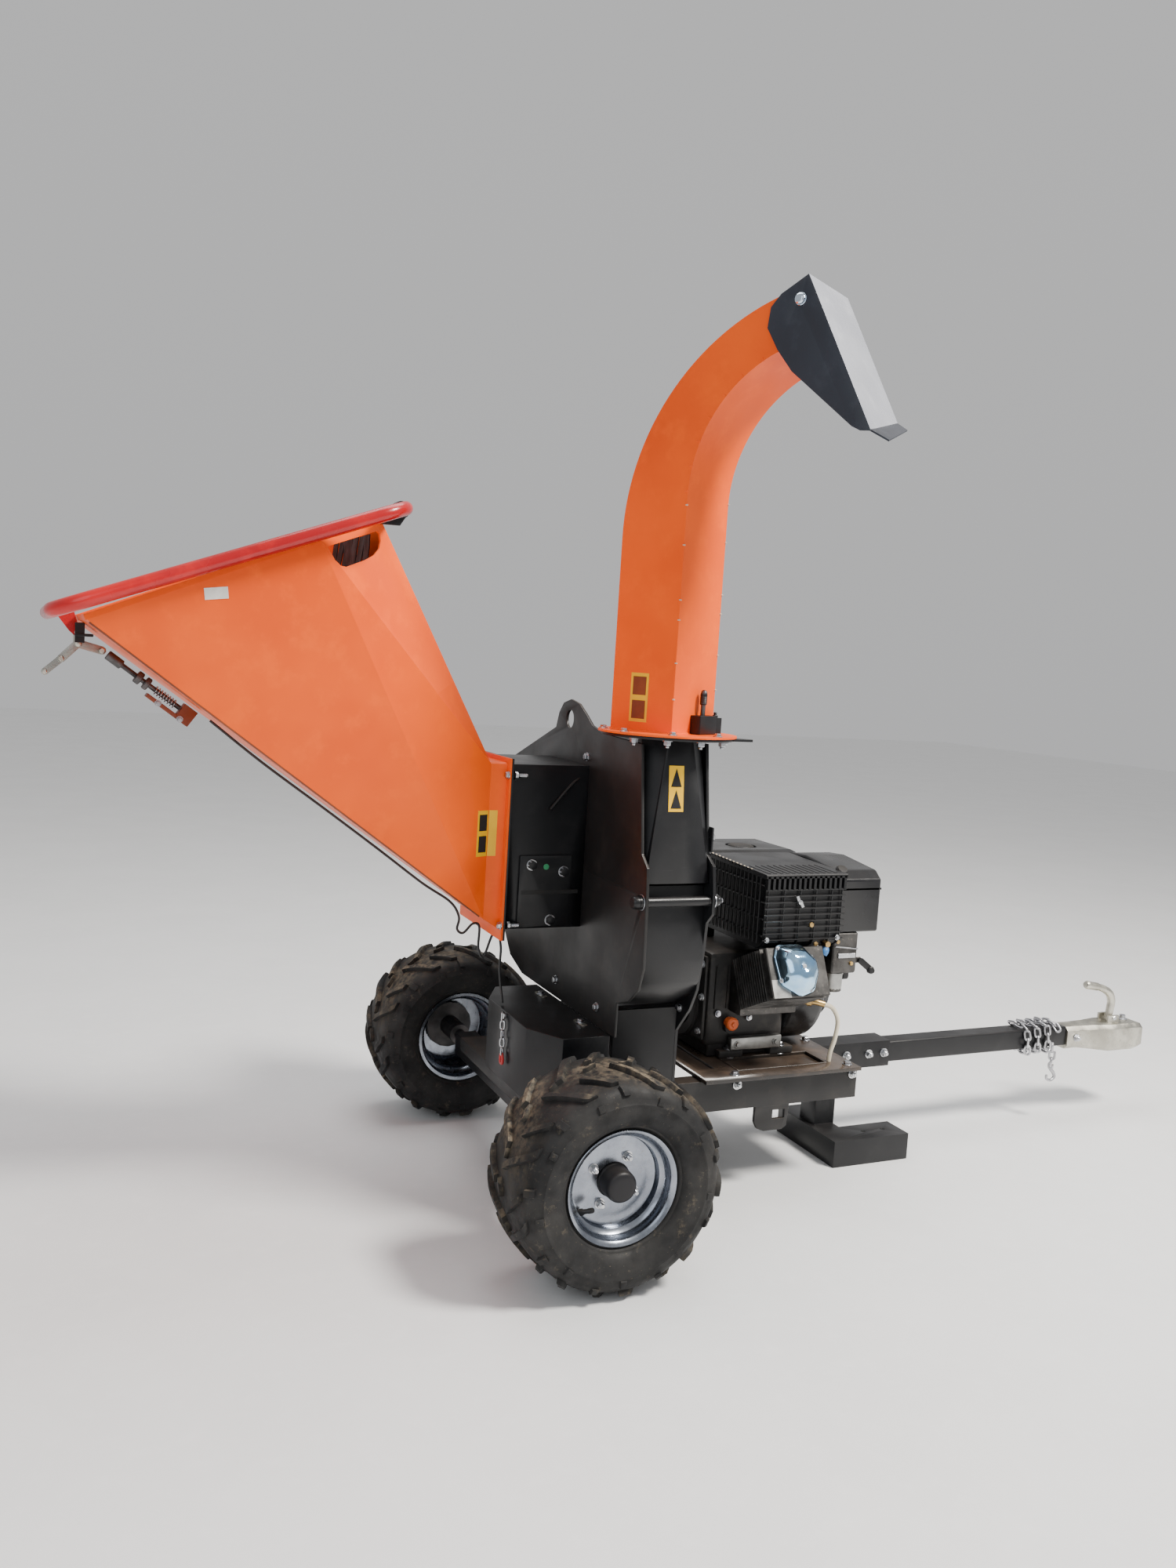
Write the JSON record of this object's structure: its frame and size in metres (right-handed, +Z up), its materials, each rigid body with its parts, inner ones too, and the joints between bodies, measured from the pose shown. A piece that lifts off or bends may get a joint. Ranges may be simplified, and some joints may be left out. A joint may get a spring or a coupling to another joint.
{
  "type": "towable wood chipper",
  "caption": "Towable petrol wood chipper: tapered feed hopper with stop bar, disc cutter housing, swivelling discharge chute with deflector, engine deck, wheels and tow coupling.",
  "frame": {"origin": "centre of the footprint box on the ground", "axes": "+X towards the tow coupling, +Z up, the discharge chute stands on the -Y side"},
  "size_m": [2.734, 1.2456, 1.775],
  "materials": {
    "orange_paint": "glossy orange powder coat",
    "black_paint": "satin black powder coat",
    "zinc_plate": "bright zinc plate",
    "red_paint": "gloss red",
    "tyre_rubber": "chunky tread, dusty",
    "rubber": "matt rubber",
    "rim_silver": "silver paint",
    "steel": "machined steel",
    "iron": "as cast",
    "alloy": "die cast",
    "chrome": "mirror",
    "plastic": "moulded",
    "clear_hose": "pale, slightly clear"
  },
  "bodies": {
    "chassis": {"chassis_frame": "black_paint", "base_box": "black_paint", "axle_beam": "black_paint", "engine_deck": "black_paint", "drawbar_sleeve": "black_paint", "drawbar": "black_paint", "coupler_body": "zinc_plate", "safety_chain": "zinc_plate", "hanging_chain": "zinc_plate", "housing_front_plate": "black_paint", "housing_rear_plate": "black_paint", "scroll_band": "black_paint", "discharge_duct": "black_paint", "index_plate": "black_paint", "tie_bolt": "zinc_plate", "infeed_throat": "black_paint", "bed_knife": "steel", "bearing_housing": "iron", "drive_belt": "rubber", "belt_guard": "black_paint", "hopper": "orange_paint", "feed_curtain": "rubber", "switch_bracket": "orange_paint", "switch_cable": "rubber", "engine_crankcase": "iron", "cylinder_head": "iron", "rocker_cover": "chrome", "fan_shroud": "black_paint", "fuel_tank": "black_paint", "muffler_guard": "black_paint", "air_cleaner": "plastic", "carburettor": "alloy", "drain_hose": "clear_hose"},
    "wheel_left": {"tyre_left": "tyre_rubber", "rim_left": "rim_silver", "hub_left": "iron", "hub_cap_left": "plastic"},
    "wheel_right": {"tyre_right": "tyre_rubber", "rim_right": "rim_silver", "hub_right": "iron", "hub_cap_right": "plastic"},
    "rotor": {"main_shaft": "steel", "cutter_disc": "steel", "cutter_knife_a": "steel", "cutter_knife_b": "steel", "driven_pulley": "steel"},
    "crank": {"crank_pulley": "steel"},
    "swivel_chute": {"chute": "orange_paint", "deflector_bolt": "zinc_plate", "lock_block": "black_paint"},
    "deflector": {"deflector": "black_paint"},
    "plunger": {"lock_plunger": "zinc_plate"},
    "stop_bar": {"safety_bar": "red_paint"},
    "stop_linkage": {"toggle_link": "zinc_plate", "pull_rod": "black_paint"},
    "stand": {"parking_stand": "black_paint"},
    "coupler_latch": {"coupler_lever": "zinc_plate"},
    "tank_cap": {"fuel_cap": "plastic"},
    "recoil_grip": {"starter_grip": "plastic"},
    "choke": {"choke_lever": "plastic"}
  },
  "joints": [
    {"name": "wheel_left_spin", "type": "hinge", "parent": "chassis", "child": "wheel_left", "pos_m": [-0.427, -0.3665, 0.203], "axis": [0, 1, 0], "continuous": true},
    {"name": "wheel_right_spin", "type": "hinge", "parent": "chassis", "child": "wheel_right", "pos_m": [-0.427, 0.5245, 0.203], "axis": [0, 1, 0], "continuous": true},
    {"name": "rotor_spin", "type": "hinge", "parent": "chassis", "child": "rotor", "pos_m": [-0.227, 0.174, 0.66], "axis": [1, 0, 0], "continuous": true},
    {"name": "crank_spin", "type": "hinge", "parent": "chassis", "child": "crank", "pos_m": [-0.142, 0.099, 0.372], "axis": [1, 0, 0], "continuous": true},
    {"name": "chute_swivel", "type": "hinge", "parent": "chassis", "child": "swivel_chute", "pos_m": [-0.279, -0.211, 0.984], "axis": [0, 0, 1], "continuous": true},
    {"name": "deflector_tilt", "type": "hinge", "parent": "swivel_chute", "child": "deflector", "pos_m": [-0.152, -0.43097, 1.735], "axis": [0.866, 0.5, 0], "range_deg": [-45, 20]},
    {"name": "plunger_lift", "type": "slide", "parent": "swivel_chute", "child": "plunger", "axis": [0, 0, 1], "range_m": [0, 0.012], "stiffness_N_per_m": 600, "springref_m": -0.004},
    {"name": "stop_bar_lift", "type": "hinge", "parent": "chassis", "child": "stop_bar", "pos_m": [-0.797, 0.079, 1.3545], "axis": [0, 1, 0], "range_deg": [0, 2]},
    {"name": "stop_rod_pull", "type": "slide", "parent": "chassis", "child": "stop_linkage", "axis": [-0.8121, 0, 0.5835], "range_m": [0, 0.01], "stiffness_N_per_m": 300, "springref_m": -0.008},
    {"name": "stand_fold", "type": "hinge", "parent": "chassis", "child": "stand", "pos_m": [0.345, 0.079, 0.15], "axis": [0, 1, 0], "range_deg": [-90, 0]},
    {"name": "coupler_lever_lift", "type": "hinge", "parent": "chassis", "child": "coupler_latch", "pos_m": [1.256, 0.079, 0.256], "axis": [0, 1, 0], "range_deg": [0, 60], "stiffness_Nm_per_rad": 0.6, "springref_deg": -14.32},
    {"name": "fuel_cap_turn", "type": "hinge", "parent": "chassis", "child": "tank_cap", "pos_m": [0.153, 0.199, 0.686], "axis": [0, 0, 1], "range_deg": [0, 90]},
    {"name": "starter_pull", "type": "slide", "parent": "chassis", "child": "recoil_grip", "axis": [1, 0, 0], "range_m": [0, 0.25], "stiffness_N_per_m": 20, "springref_m": -0.05},
    {"name": "choke_turn", "type": "hinge", "parent": "chassis", "child": "choke", "pos_m": [0.315, -0.079, 0.486], "axis": [0, 1, 0], "range_deg": [0, 60]}
  ],
  "couplings": [
    {"joint": "crank_spin", "follows": "rotor_spin", "ratio": 1.4608},
    {"joint": "stop_rod_pull", "follows": "stop_bar_lift", "m_per_rad": 0.28647}
  ]
}
